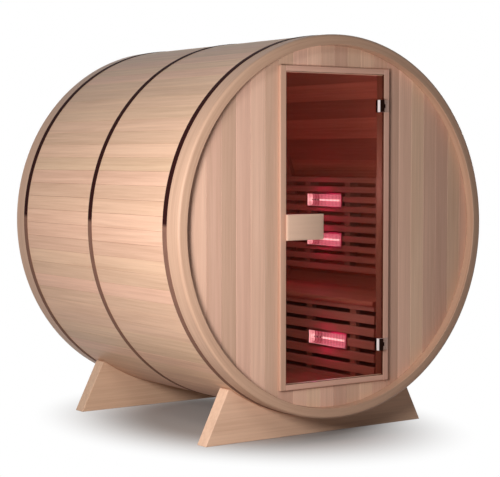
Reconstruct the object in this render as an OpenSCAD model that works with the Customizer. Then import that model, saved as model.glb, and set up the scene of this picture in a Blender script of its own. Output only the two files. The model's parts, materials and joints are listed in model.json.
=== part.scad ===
// Barrel sauna: a round cabin of wooden staves lying on two cradles, with a glass door
// in its front end, a slatted bench and backrest along its right side and infrared heaters.
// Millimetres, +Z up, front towards -Y. The origin is on the ground under the middle.

/* [Barrel] */
// Outer diameter over the staves
barrel_d = 1800; // [1700:10:2100]
// Length over both end rims
barrel_len = 1568; // [1500:2:1900]
// Thickness of a stave
stave_t = 42; // [36:1:46]
// Width of a stave on the outside
stave_w = 67; // [50:1:100]
// Width of the V joint between two boards
joint_w = 3; // [1:0.5:5]
// Clearance between the barrel and the ground
ground_gap = 94; // [70:1:160]

/* [End rims] */
// Radial thickness of an end rim
rim_t = 48; // [46:1:60]
// Length of an end rim, up to the middle of its hoop
rim_len = 112; // [100:1:130]
// Radius of the rounded outer edge of a rim
rim_round = 14; // [4:1:24]
// Depth of an end wall behind the edge of its rim
wall_recess = 49; // [40:1:56]
// Thickness of the boards of an end wall
end_wall_t = 40; // [30:1:42]
// Width of a board of an end wall
end_board_w = 80; // [60:1:140]

/* [Hoops] */
// Width of a steel hoop
hoop_w = 34; // [20:1:50]
// Thickness of a steel hoop
hoop_t = 2; // [1:0.5:4]

/* [Doorway] */
// Clear width between the jambs
doorway_w = 584; // [540:2:620]
// Width of the wall that is left outside the corners of the door frame
frame_margin = 36; // [20:1:60]
// Face width of a jamb
jamb_w = 32; // [26:1:40]
// Face height of the head and of the sill
head_h = 26; // [22:1:34]
// Chamfer along the front edges of the door frame
frame_chamfer = 2; // [0.5:0.5:5]
// How far the door frame stands in front of the wall
frame_proud = 16; // [12:1:20]

/* [Door] */
// Thickness of the door's glass
glass_t = 8; // [6:1:10]
// Gap round the glass
door_gap = 6; // [5:0.5:8]
// Depth of the glass behind the face of the frame
glass_setback = 3; // [2:0.5:6]
// Length of the wooden handle
handle_len = 210; // [150:1:260]
// Height of the wooden handle
handle_h = 119; // [80:1:140]
// How far the wooden handle stands in front of the glass
handle_t = 26; // [20:1:28]
// How far the handle reaches over the left jamb
handle_overlap = 7; // [2:1:12]
// Height of the handle's middle above the middle of the door
handle_rise = 6; // [-60:1:60]
// Width of the bevel round the front of the handle
handle_bevel_w = 10; // [2:1:20]
// Depth of the bevel round the front of the handle
handle_bevel_t = 4; // [1:0.5:6]

/* [Hinges] */
// Height of a hinge
hinge_h = 58; // [44:1:80]
// Distance of a hinge's middle from the upper or lower edge of the glass
hinge_inset = 144; // [80:1:240]
// Width of the block that is clamped to the glass
clip_w = 25; // [20:1:40]
// Distance of the block from the side edge of the glass
clip_inset = 8; // [6:1:20]
// Thickness of the block in front of the glass
clip_t = 20; // [14:1:24]
// Thickness of the plate behind the glass
clip_back_t = 6; // [4:0.5:10]
// Thickness of the dark cap on the block
cap_t = 2; // [1:0.5:3]
// Width of the leaf on the jamb
leaf_w = 24; // [12:1:26]
// Thickness of the leaf on the jamb
leaf_t = 3; // [2:0.5:4]
// Radius of the hinge's knuckle
knuckle_r = 5; // [4:0.5:7]
// Radius of the hinge's pin
pin_r = 2; // [1.5:0.25:3]

/* [Cradles] */
// Thickness of a cradle
cradle_t = 73; // [50:1:110]
// Distance of a cradle from the end of the barrel
cradle_inset = 167; // [135:1:260]
// Width of a cradle on the ground
cradle_foot_w = 1298; // [1100:2:1500]
// Width of a cradle across its upper tips
cradle_tip_w = 1044; // [900:2:1060]
// Width of the flat on each upper tip
cradle_tip_flat = 10; // [4:1:30]

/* [Floor and bench] */
// Height of the floor above the lowest point inside the barrel
floor_lift = 78; // [50:1:110]
// Thickness of the floor boards
floor_t = 24; // [18:1:28]
// Width of a floor board
floor_board_w = 100; // [70:1:140]
// Distance of the bench front from the middle of the cabin
bench_x = 300; // [240:1:340]
// Height of the seat above the floor
seat_h = 404; // [340:1:460]
// Thickness of the seat boards
seat_t = 28; // [20:1:40]
// Width of a seat board
seat_board_w = 92; // [60:1:140]
// How far the seat's edge stands over the bench front
seat_nose = 12; // [0:1:30]
// Thickness of a slat
slat_t = 18; // [12:1:26]
// Height of a gap between two slats
slat_gap = 22; // [14:1:28]
// Height of one slat and one gap on the bench front
front_pitch = 63; // [54:1:72]
// Height of the rail over the first gap of the bench front
front_rail_h = 21; // [12:1:40]
// Width of the battens that carry the slats
batten_w = 46; // [30:1:60]
// Depth of the battens behind the bench front
batten_t = 27; // [18:1:50]

/* [Backrest] */
// Distance of the backrest's face from the round wall behind its middle
back_depth = 98; // [88:1:130]
// Height of the backrest's upper edge above the barrel's axis
back_rise = 218; // [160:1:240]
// Least height of the backrest's lower edge above the seat
back_clear = 60; // [40:1:120]
// Height of the rail over the first gap of the backrest
back_rail_h = 29; // [20:1:40]
// Height of one slat and one gap on the backrest
back_pitch = 54; // [46:1:58]

/* [Heaters] */
// Distance of the heaters from the middle of the cabin along its length
bay_y = 308; // [260:1:380]
// Length over a heater's face frame
heater_len = 317; // [290:1:330]
// Height over a heater's face frame
heater_h = 86; // [76:1:96]
// Thickness of the face frame
bezel_t = 6; // [3:0.5:9]
// Border of the face frame round the reflector
bezel_border = 10; // [6:1:14]
// Thickness of the reflector's sheet
reflector_t = 1.5; // [1:0.25:3]
// Radius of the glowing rod
rod_r = 5; // [3:0.5:8]
// Height of the calf heater below the seat
heater_calf_drop = 217; // [170:1:250]
// Number of wires in a heater's guard
guard_wires = 23; // [9:2:29]
// Radius of a guard wire
wire_r = 1; // [0.75:0.25:2]

/* [Hidden] */
$fn = 240;

// Small play between curved faces that meet
play = 0.2;
// Overrun of a cut past the faces that it opens
over = 5;
// Number of wall segments round the barrel
segment_count = 12;
// Play between the knuckles of a hinge along its pin, and round the pin
knuckle_play = 1;
pin_play = 0.2;
// Share of the hinge's height that each of the three knuckles takes
knuckle_share = 1 / 3;
// Share of the reflector's depth at which the glowing rod lies
rod_depth_share = 0.35;
// Shares of the backrest's height at which its upper and lower heater lie below its upper edge
heater_place_shares = [0.25, 0.674];
// Room between a heater and the battens beside it
batten_play = 5;
// Least depth of a batten between the backrest's slats and the round wall
batten_least_t = 15;
// Length and radius of the ceramic holder at each end of a rod
holder_len = 14;
holder_r = 11;

// Barrel
barrel_r = barrel_d / 2;
bore_r = barrel_r - stave_t;
rim_bore_r = barrel_r - rim_t;
front_y = -barrel_len / 2;
stave_len = barrel_len - 2 * rim_len;
hoop_y = barrel_len / 2 - rim_len;
inner_r = bore_r - play;
axis_h = barrel_r + ground_gap;
segment_staves = round(PI * barrel_d / segment_count / stave_w);

// End walls and doorway
wall_y = front_y + wall_recess;
room_y = wall_y + end_wall_t;
frame_y = wall_y - frame_proud;
frame_depth = room_y - frame_y;
half_open_w = doorway_w / 2;
half_frame_w = half_open_w + jamb_w;
half_frame_h = sqrt(pow(rim_bore_r - frame_margin, 2) - pow(half_frame_w, 2));
half_open_h = half_frame_h - head_h;
wall_r = rim_bore_r - play;
wall_joint_count = floor(barrel_r / end_board_w);

// Door
glass_y = frame_y + glass_setback;
half_glass_w = half_open_w - door_gap;
half_glass_h = half_open_h - door_gap;
handle_x = -half_open_w - handle_overlap;
handle_rebate = handle_overlap + 2 * door_gap;
handle_y = glass_y - handle_t;
axis_x = half_open_w - door_gap / 2;
axis_y = frame_y - knuckle_r;
hinge_offset = half_glass_h - hinge_inset;
clip_x = half_glass_w - clip_inset - clip_w;
knuckle_len = hinge_h * knuckle_share;
leaf_x = axis_x + knuckle_r + knuckle_play;

// Room
floor_drop = bore_r - floor_lift;
seat_x = bench_x - seat_nose;
seat_z = seat_h - floor_drop;
bench_rail_z = seat_z - seat_t;
front_gaps = 1 + floor((floor_drop + bench_rail_z - front_rail_h - slat_gap) / front_pitch);
back_x = bore_r - back_depth;
back_z = back_rise;
back_reach = sqrt(pow(inner_r, 2) - pow(back_x + slat_t + batten_least_t, 2));
back_low = max(seat_z + back_clear, -back_reach);
back_gaps = floor((back_z - back_low - back_rail_h) / back_pitch);
back_h = back_rail_h + back_gaps * back_pitch;
floor_joint_count = floor((bore_r + bench_x) / floor_board_w);
seat_joint_count = floor((bore_r - bench_x) / seat_board_w);

// Heaters
heater_open_l = heater_len - 2 * bezel_border;
heater_open_h = heater_h - 2 * bezel_border;
reflector_r = heater_open_h / 2 + reflector_t;
reflector_l = heater_open_l + 2 * reflector_t;
rod_len = heater_open_l - 2 * holder_len;
rod_x = reflector_r * rod_depth_share;
upper_z = back_z - heater_place_shares[0] * back_h;
lower_z = back_z - heater_place_shares[1] * back_h;
calf_z = seat_z - heater_calf_drop;
batten_offset = reflector_l / 2 + batten_play + batten_w / 2;

// Colours
stave_colour = "#d9b08c";
rim_colour = "#dcb693";
wall_colour = "#c69c7d";
frame_colour = "#d8b191";
bench_colour = "#b98a68";
hoop_colour = "#3a211d";
glass_colour = "#5a251d88";
chrome_colour = "#c9ccd0";
dark_metal_colour = "#2b2422";
heater_colour = "#b9a9a4";
rod_colour = "#ff5a6a";

// Lifts what is drawn round the barrel's axis to its height over the ground
module on_axis() {
    translate([0, 0, axis_h]) children();
}

// Extrudes an outline drawn in X and Z from y along +Y
module along_y(y, length) {
    on_axis() translate([0, y + length, 0]) rotate([90, 0, 0]) linear_extrude(length) children();
}

// Block between two corners, measured from the barrel's axis
module block(from, to) {
    on_axis() translate(from) cube(to - from);
}

// Square on its corner that cuts a V joint into the edge of an outline
module v_joint() {
    rotate(45) square(joint_w / sqrt(2), center = true);
}

// Outline of one segment of the round wall, counted clockwise from the bottom
module segment_outline(index) {
    step = 360 / segment_count;
    reach = barrel_r / cos(step / 2) + over;
    difference() {
        intersection() {
            circle(barrel_r);
            rotate(-90 - index * step)
                polygon([[0, 0], [reach, 0], [reach * cos(step), -reach * sin(step)]]);
        }
        circle(bore_r);
        for (joint = [0 : segment_staves]) rotate(-90 - (index + joint / segment_staves) * step) {
            translate([barrel_r, 0]) v_joint();
            translate([bore_r, 0]) v_joint();
        }
    }
}

module stave_wall(index) {
    color(stave_colour) along_y(-stave_len / 2, stave_len) segment_outline(index);
}

// Profile of an end rim: bore, flat end and rounded outer edge, with the end at height 0
module rim_profile() {
    difference() {
        translate([rim_bore_r, 0]) square([rim_t, rim_len]);
        translate([barrel_r - rim_round, -over]) square([rim_round + over, rim_round + over]);
    }
    intersection() {
        translate([barrel_r - rim_round, 0]) square(rim_round);
        translate([barrel_r - rim_round, rim_round]) circle(rim_round);
    }
}

module front_rim() {
    color(rim_colour) on_axis() translate([0, front_y, 0]) rotate([-90, 0, 0]) rotate_extrude() rim_profile();
}

module rear_rim() {
    color(rim_colour) on_axis() translate([0, -front_y, 0]) rotate([90, 0, 0]) rotate_extrude() rim_profile();
}

module hoop(y) {
    color(hoop_colour) along_y(y - hoop_w / 2, hoop_w) difference() {
        circle(barrel_r + play + hoop_t);
        circle(barrel_r + play);
    }
}

// Upright V joints between the boards of the front wall, on both its faces
module wall_joints() {
    for (index = [-wall_joint_count : wall_joint_count], y = [wall_y, room_y])
        on_axis() translate([index * end_board_w, y, -barrel_r]) linear_extrude(barrel_d) v_joint();
}

// Part of the front wall inside a rectangle from a lower left to an upper right corner
module front_wall(from, to) {
    color(wall_colour) difference() {
        along_y(wall_y, end_wall_t) intersection() {
            circle(wall_r);
            translate(from) square(to - from);
        }
        wall_joints();
    }
}

module front_wall_left() {
    front_wall([-barrel_r, -barrel_r], [-half_frame_w, barrel_r]);
}

module front_wall_right() {
    front_wall([half_frame_w, -barrel_r], [barrel_r, barrel_r]);
}

module front_wall_over_door() {
    front_wall([-half_frame_w, half_frame_h], [half_frame_w, barrel_r]);
}

module front_wall_under_door() {
    front_wall([-half_frame_w, -barrel_r], [half_frame_w, -half_frame_h]);
}

module back_wall() {
    color(wall_colour) difference() {
        along_y(-room_y, end_wall_t) circle(wall_r);
        mirror([0, 1, 0]) wall_joints();
    }
}

// Section of a piece of the door frame, with its face towards -Y
module frame_section(width) {
    polygon([
        [0, frame_chamfer],
        [frame_chamfer, 0],
        [width - frame_chamfer, 0],
        [width, frame_chamfer],
        [width, frame_depth],
        [0, frame_depth]
    ]);
}

// Upright of the door frame with its left side at x
module door_jamb(x) {
    color(frame_colour) on_axis() translate([x, frame_y, -half_frame_h])
        linear_extrude(2 * half_frame_h) frame_section(jamb_w);
}

// Crosspiece of the door frame with its lower side at height z from the barrel's axis
module door_crosspiece(z) {
    color(frame_colour) on_axis() translate([half_open_w, frame_y, z]) rotate([0, -90, 0])
        linear_extrude(doorway_w) frame_section(head_h);
}

module door_glass() {
    color(glass_colour) block(
        [-half_glass_w, glass_y, -half_glass_h],
        [half_glass_w, glass_y + glass_t, half_glass_h]
    );
}

// Outline of the handle seen from above, with bevelled front edges and a rebate over the jamb
module handle_plan() {
    right = handle_x + handle_len;
    polygon([
        [handle_x, handle_y + handle_bevel_t],
        [handle_x + handle_bevel_w, handle_y],
        [right - handle_bevel_w, handle_y],
        [right, handle_y + handle_bevel_t],
        [right, glass_y],
        [handle_x + handle_rebate, glass_y],
        [handle_x + handle_rebate, frame_y - door_gap],
        [handle_x, frame_y - door_gap]
    ]);
}

// Outline of the handle seen from the side, with bevelled front edges
module handle_side() {
    half = handle_h / 2;
    polygon([
        [handle_y, -half + handle_bevel_w],
        [handle_y + handle_bevel_t, -half],
        [glass_y, -half],
        [glass_y, half],
        [handle_y + handle_bevel_t, half],
        [handle_y, half - handle_bevel_w]
    ]);
}

module door_handle() {
    color(frame_colour) on_axis() translate([0, 0, handle_rise]) intersection() {
        translate([0, 0, -handle_h / 2]) linear_extrude(handle_h) handle_plan();
        translate([handle_x, 0, 0]) rotate([90, 0, 90]) linear_extrude(handle_len) handle_side();
    }
}

// Draws its children at the middle of each hinge
module at_hinges() {
    for (side = [-1, 1]) on_axis() translate([0, 0, side * hinge_offset]) children();
}

// Block in front of the glass and plate behind it
module hinge_clips() {
    color(chrome_colour) at_hinges() translate([clip_x, glass_y, -hinge_h / 2]) {
        translate([0, -clip_t, 0]) cube([clip_w, clip_t, hinge_h]);
        translate([0, glass_t, 0]) cube([clip_w, clip_back_t, hinge_h]);
    }
}

// Middle knuckle of a hinge with the strap that lies against its block, and the cap on the block
module hinge_knuckles() {
    height = knuckle_len - knuckle_play;
    strap_w = axis_x - clip_x - clip_w;
    color(dark_metal_colour) at_hinges() {
        translate([axis_x, axis_y, -height / 2]) linear_extrude(height) difference() {
            union() {
                circle(knuckle_r);
                translate([-strap_w, 0]) square([strap_w, glass_y - axis_y]);
            }
            circle(pin_r + pin_play);
        }
        translate([clip_x, glass_y - clip_t - cap_t, -hinge_h / 2]) cube([clip_w, cap_t, hinge_h]);
    }
}

// Leaf on the face of the jamb with the outer two knuckles and the pin
module hinge_leaves() {
    color(chrome_colour) at_hinges() {
        translate([leaf_x, frame_y - leaf_t, -hinge_h / 2]) cube([leaf_w, leaf_t, hinge_h]);
        translate([axis_x, axis_y, 0]) cylinder(r = pin_r, h = hinge_h, center = true);
        for (side = [-1, 1]) translate([axis_x, axis_y, side * knuckle_len]) {
            cylinder(r = knuckle_r, h = knuckle_len, center = true);
            translate([0, knuckle_r - leaf_t, -knuckle_len / 2]) cube([leaf_x - axis_x, leaf_t, knuckle_len]);
        }
    }
}

// Trapezoid board with blunt tips and the barrel's curve cut from its upper edge
module cradle(y) {
    seat_r = barrel_r + play;
    half_tip = cradle_tip_w / 2;
    tip_z = -sqrt(pow(seat_r, 2) - pow(half_tip - cradle_tip_flat, 2));
    color(rim_colour) along_y(y, cradle_t) difference() {
        polygon([
            [-cradle_foot_w / 2, -axis_h],
            [cradle_foot_w / 2, -axis_h],
            [half_tip, tip_z],
            [-half_tip, tip_z]
        ]);
        circle(seat_r);
    }
}

// Limits an outline to the inside of the round wall
module inside() {
    intersection() {
        circle(inner_r);
        children();
    }
}

// Boards from the round wall on the left to the bench front
module floor() {
    color(bench_colour) along_y(-stave_len / 2, stave_len) inside() difference() {
        translate([-barrel_r, -floor_drop - floor_t]) square([barrel_r + bench_x, floor_t]);
        for (index = [1 : floor_joint_count])
            translate([bench_x - index * floor_board_w, -floor_drop]) v_joint();
    }
}

// Seat boards with a half round front edge
module bench_seat() {
    nose_r = seat_t / 2;
    color(bench_colour) along_y(-stave_len / 2, stave_len) inside() difference() {
        translate([seat_x + nose_r, bench_rail_z]) {
            square([barrel_r, seat_t]);
            translate([0, nose_r]) circle(nose_r);
        }
        for (index = [1 : seat_joint_count])
            translate([bench_x + index * seat_board_w, seat_z]) v_joint();
    }
}

// Draws its children at each batten along the cabin, in pairs beside the heaters' places
module at_battens() {
    for (bay = [-bay_y, bay_y], side = [-1, 1])
        along_y(bay + side * batten_offset - batten_w / 2, batten_w) inside() children();
}

// Hole through the slats for a heater that stands at height z with its middle at y
module heater_hole(x, y, z) {
    block(
        [x - over, y - reflector_l / 2 - play, z - reflector_r - play],
        [x + slat_t + over, y + reflector_l / 2 + play, z + reflector_r + play]
    );
}

// Slats along the bench front, standing on battens that reach down to the round wall
module bench_front() {
    color(bench_colour) {
        difference() {
            along_y(-stave_len / 2, stave_len) inside() difference() {
                translate([bench_x, -barrel_r]) square([slat_t, barrel_r + bench_rail_z]);
                for (index = [0 : front_gaps - 1])
                    translate([bench_x - over, bench_rail_z - front_rail_h - slat_gap - index * front_pitch])
                        square([slat_t + 2 * over, slat_gap]);
            }
            heater_hole(bench_x, -bay_y, calf_z);
        }
        at_battens() translate([bench_x + slat_t, -barrel_r]) square([batten_t, barrel_r + bench_rail_z]);
    }
}

// Slats of the backrest on battens with backs that follow the round wall
module backrest() {
    color(bench_colour) {
        difference() {
            along_y(-stave_len / 2, stave_len) inside() difference() {
                translate([back_x, back_z - back_h]) square([slat_t, back_h]);
                for (index = [0 : back_gaps - 1])
                    translate([back_x - over, back_z - back_rail_h - slat_gap - index * back_pitch])
                        square([slat_t + 2 * over, slat_gap]);
            }
            heater_hole(back_x, bay_y, upper_z);
            heater_hole(back_x, bay_y, lower_z);
        }
        at_battens() translate([back_x + slat_t, back_z - back_h]) square([barrel_r, back_h]);
    }
}

// Draws its children with the back of the face frame at x, the middle at y and z
module at_heater(x, y, z) {
    on_axis() translate([x, y, z]) children();
}

// Face frame with a trough of half round section behind it, closed at both ends
module heater() {
    difference() {
        union() {
            translate([-bezel_t, -heater_len / 2, -heater_h / 2]) cube([bezel_t, heater_len, heater_h]);
            rotate([90, 0, 0]) linear_extrude(reflector_l, center = true) intersection() {
                circle(reflector_r);
                translate([0, -reflector_r]) square([reflector_r, 2 * reflector_r]);
            }
        }
        rotate([90, 0, 0]) cylinder(r = reflector_r - reflector_t, h = heater_open_l, center = true);
        translate([-bezel_t - over, -heater_open_l / 2, -heater_open_h / 2])
            cube([bezel_t + over, heater_open_l, heater_open_h]);
    }
}

module back_heater_upper() {
    color(heater_colour) at_heater(back_x, bay_y, upper_z) heater();
}

module back_heater_lower() {
    color(heater_colour) at_heater(back_x, bay_y, lower_z) heater();
}

module calf_heater() {
    color(heater_colour) at_heater(bench_x, -bay_y, calf_z) heater();
}

// Draws its children at each of the three heaters
module at_heaters() {
    at_heater(back_x, bay_y, upper_z) children();
    at_heater(back_x, bay_y, lower_z) children();
    at_heater(bench_x, -bay_y, calf_z) children();
}

// Glowing rod with a ceramic holder at each end
module heater_rods() {
    color(rod_colour) at_heaters() translate([rod_x, 0, 0]) rotate([90, 0, 0]) {
        cylinder(r = rod_r, h = rod_len, center = true);
        for (side = [-1, 1]) translate([0, 0, side * (heater_open_l - holder_len) / 2])
            cylinder(r = holder_r, h = holder_len, center = true);
    }
}

// Upright wires across the mouth of each heater
module heater_guards() {
    pitch = heater_open_l / (guard_wires + 1);
    color(chrome_colour) at_heaters() for (index = [1 : guard_wires])
        translate([-bezel_t / 2, index * pitch - heater_open_l / 2, 0])
            cylinder(r = wire_r, h = heater_open_h, center = true, $fn = 8);
}

stave_wall(0);  // stave_wall_01
stave_wall(1);  // stave_wall_02
stave_wall(2);  // stave_wall_03
stave_wall(3);  // stave_wall_04
stave_wall(4);  // stave_wall_05
stave_wall(5);  // stave_wall_06
stave_wall(6);  // stave_wall_07
stave_wall(7);  // stave_wall_08
stave_wall(8);  // stave_wall_09
stave_wall(9);  // stave_wall_10
stave_wall(10);  // stave_wall_11
stave_wall(11);  // stave_wall_12
front_rim();
rear_rim();
hoop(-hoop_y);  // front_hoop
hoop(0);  // middle_hoop
hoop(hoop_y);  // rear_hoop
front_wall_left();
front_wall_right();
front_wall_over_door();
front_wall_under_door();
back_wall();
door_jamb(-half_frame_w);  // door_jamb_left
door_jamb(half_open_w);  // door_jamb_right
door_crosspiece(half_open_h);  // door_head
door_crosspiece(-half_frame_h);  // door_sill
door_glass();
door_handle();
hinge_clips();
hinge_knuckles();
hinge_leaves();
cradle(front_y + cradle_inset);  // front_cradle
cradle(-front_y - cradle_inset - cradle_t);  // rear_cradle
floor();
bench_seat();
bench_front();
backrest();
back_heater_upper();
back_heater_lower();
calf_heater();
heater_rods();
heater_guards();
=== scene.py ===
"""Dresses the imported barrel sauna: boards, rims, hoops, door, bench, heaters and a plain studio."""

from __future__ import annotations

import json
import logging
import math
import random
from abc import ABC, abstractmethod
from collections.abc import Callable, Sequence
from dataclasses import dataclass
from enum import Enum
from typing import NamedTuple

import bmesh
import bpy
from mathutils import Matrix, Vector


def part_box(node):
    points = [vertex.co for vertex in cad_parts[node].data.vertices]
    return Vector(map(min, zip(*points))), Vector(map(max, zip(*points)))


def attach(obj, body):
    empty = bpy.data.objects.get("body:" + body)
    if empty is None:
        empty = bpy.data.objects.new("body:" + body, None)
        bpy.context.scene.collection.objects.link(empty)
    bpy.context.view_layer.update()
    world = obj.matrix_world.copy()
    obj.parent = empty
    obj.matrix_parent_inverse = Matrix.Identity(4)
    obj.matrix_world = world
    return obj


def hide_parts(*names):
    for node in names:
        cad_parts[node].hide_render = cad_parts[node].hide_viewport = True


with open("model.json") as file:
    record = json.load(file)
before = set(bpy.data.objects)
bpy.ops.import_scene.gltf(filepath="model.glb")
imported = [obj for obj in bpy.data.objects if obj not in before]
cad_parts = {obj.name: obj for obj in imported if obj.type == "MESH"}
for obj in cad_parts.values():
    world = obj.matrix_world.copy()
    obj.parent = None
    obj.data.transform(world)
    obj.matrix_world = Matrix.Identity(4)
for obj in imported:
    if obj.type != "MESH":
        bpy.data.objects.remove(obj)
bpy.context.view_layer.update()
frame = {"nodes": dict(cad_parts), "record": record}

LOG = logging.getLogger("barrel_sauna")

Colour = tuple[float, float, float]
Triple = tuple[float, float, float]
Point = tuple[float, float]
Place = Callable[[float, float, float], Vector]
WHITE: Colour = (1.0, 1.0, 1.0)
BLACK: Colour = (0.0, 0.0, 0.0)


# Shader graph

NOISE_MIDDLE = 0.5
MIX_SHARE, MIX_FIRST, MIX_SECOND, MIX_RESULT = 0, 6, 7, 2


@dataclass(frozen=True)
class Noise:
    """A noise by its changes over a metre along each axis, its detail and its roughness."""

    per_metre: Triple
    detail: float = 2.0
    roughness: float = 0.5


class Value:
    """An output socket that takes part in arithmetic by adding Math nodes."""

    def __init__(self, tree: Tree, socket: bpy.types.NodeSocket) -> None:
        """Keeps the tree and the socket."""
        self.tree = tree
        self.socket = socket

    def __add__(self, other: Feed) -> Value:
        """Sum of two values."""
        return self.tree.math("ADD", self, other)

    def __radd__(self, other: Feed) -> Value:
        """Sum with a plain number on the left."""
        return self.tree.math("ADD", other, self)

    def __sub__(self, other: Feed) -> Value:
        """Difference of two values."""
        return self.tree.math("SUBTRACT", self, other)

    def __rsub__(self, other: Feed) -> Value:
        """Difference from a plain number on the left."""
        return self.tree.math("SUBTRACT", other, self)

    def __mul__(self, other: Feed) -> Value:
        """Product of two values."""
        return self.tree.math("MULTIPLY", self, other)

    def __rmul__(self, other: Feed) -> Value:
        """Product with a plain number on the left."""
        return self.tree.math("MULTIPLY", other, self)

    def sine(self) -> Value:
        """Sine of an angle in radians."""
        return self.tree.math("SINE", self)

    def fraction(self) -> Value:
        """Part of the value after the decimal point."""
        return self.tree.math("FRACT", self)

    def larger(self, other: Feed) -> Value:
        """Larger of two values."""
        return self.tree.math("MAXIMUM", self, other)

    def swing(self) -> Value:
        """Difference of a noise from its middle."""
        return self - NOISE_MIDDLE

    def step(self, low: float, high: float) -> Value:
        """Smooth step from 0 at low to 1 at high."""
        limits = {0: self, 1: low, 2: high}
        return self.tree.value("ShaderNodeMapRange", limits, interpolation_type="SMOOTHSTEP")

    def edge(self, place: float, soft: float) -> Value:
        """Smooth step from 0 to 1 over a soft distance on both sides of a place."""
        return self.step(place - soft, place + soft)


Feed = Value | float | Sequence[float]
Sockets = dict[str | int, Feed]


class Tree:
    """A node tree that is filled through one method."""

    def __init__(self, owner: bpy.types.Material | bpy.types.World) -> None:
        """Empties the owner's node tree.

        Args:
            owner: Material or world that the nodes are for.
        """
        kind = "World" if isinstance(owner, bpy.types.World) else "Material"
        self.output = f"ShaderNodeOutput{kind}"
        owner.use_nodes = True
        self.tree = owner.node_tree
        self.tree.nodes.clear()

    def node(self, kind: str, sockets: Sockets, **settings: object) -> bpy.types.Node:
        """Adds any node.

        Args:
            kind: The node's type.
            sockets: Values or links of its input sockets by name or index.
            settings: Properties that are set first.

        Returns:
            The new node.
        """
        made = self.tree.nodes.new(kind)
        for name, setting in settings.items():
            setattr(made, name, setting)
        for key, feed in sockets.items():
            socket = made.inputs[key]
            if isinstance(feed, Value):
                self.tree.links.new(feed.socket, socket)
            else:
                socket.default_value = (*feed, 1.0) if socket.type == "RGBA" else feed
        return made

    def value(
        self, kind: str, sockets: Sockets, output: str | int = 0, **settings: object
    ) -> Value:
        """Adds any node and gives one of its outputs, by name or index."""
        return Value(self, self.node(kind, sockets, **settings).outputs[output])

    def math(self, operation: str, *operands: Feed) -> Value:
        """Adds a Math node on values or numbers."""
        return self.value("ShaderNodeMath", dict(enumerate(operands)), operation=operation)

    def vector(self, operation: str, *operands: Feed, output: str = "Vector") -> Value:
        """Adds a Vector Math node on vectors."""
        sockets = dict(enumerate(operands))
        return self.value("ShaderNodeVectorMath", sockets, output, operation=operation)

    def mix(self, share: Feed, first: Feed, second: Feed, blend: str = "MIX") -> Value:
        """Mixes two colours.

        Args:
            share: Share of the second colour.
            first: First colour.
            second: Second colour.
            blend: The Mix node's blend type.

        Returns:
            The mixed colour.
        """
        colours = {MIX_SHARE: share, MIX_FIRST: first, MIX_SECOND: second}
        settings = {"data_type": "RGBA", "blend_type": blend}
        return self.value("ShaderNodeMix", colours, MIX_RESULT, **settings)

    def attribute(self, name: str, output: str) -> Value:
        """Attribute of the mesh."""
        return self.value("ShaderNodeAttribute", {}, output, attribute_name=name)

    def place(self) -> Value:
        """Place in metres in the object's own frame."""
        return self.value("ShaderNodeTexCoord", {}, "Object")

    def part(self, vector: Value, axis: int) -> Value:
        """One coordinate of a vector."""
        return self.value("ShaderNodeSeparateXYZ", {0: vector}, axis)

    def noise(self, place: Value, noise: Noise) -> Value:
        """Adds a noise.

        Args:
            place: Place in metres.
            noise: Its changes over a metre, detail and roughness.

        Returns:
            The noise, from 0 to 1.
        """
        scaled = self.vector("MULTIPLY", place, noise.per_metre)
        sockets = {"Vector": scaled, "Scale": 1.0, "Detail": noise.detail}
        return self.value("ShaderNodeTexNoise", {**sockets, "Roughness": noise.roughness})

    def bump(self, height: Value, strength: float, depth: float) -> Value:
        """Normal that follows a height."""
        sockets = {"Strength": strength, "Distance": depth, "Height": height}
        return self.value("ShaderNodeBump", sockets)

    def seen(self) -> Value:
        """Makes a mask of the rays that show the background.

        Returns:
            1 for camera, glossy and transmission rays, and 0 for the others.
        """
        kinds = ("Camera", "Glossy", "Transmission")
        rays = [self.value("ShaderNodeLightPath", {}, f"Is {kind} Ray") for kind in kinds]
        return rays[0].larger(rays[1]).larger(rays[2])

    def surface(self, shader: Value) -> None:
        """Makes a shader the surface of the material or world."""
        self.node(self.output, {"Surface": shader})

    def blend(self, share: Value, first: Value, second: Value) -> None:
        """Makes a mix of two shaders, by the share of the second, the surface."""
        self.surface(self.value("ShaderNodeMixShader", {0: share, 1: first, 2: second}))

    def principled(self, sockets: Sockets) -> None:
        """Adds the main shader and makes it the surface."""
        self.surface(self.value("ShaderNodeBsdfPrincipled", sockets))


# Finishes


@dataclass(frozen=True)
class Finish(ABC):
    """A named material."""

    name: str

    @abstractmethod
    def shade(self, tree: Tree) -> None:
        """Adds the nodes of the finish to the material's tree."""

    def build(self) -> bpy.types.Material:
        """Builds the material.

        Returns:
            The material.
        """
        material = bpy.data.materials.new(self.name)
        self.shade(Tree(material))
        return material


class Grain(Enum):
    """Where a wood finish takes the run of its grain from."""

    BOARD = "the attributes of each board"
    ALONG_X = "the x axis of the object"


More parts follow.
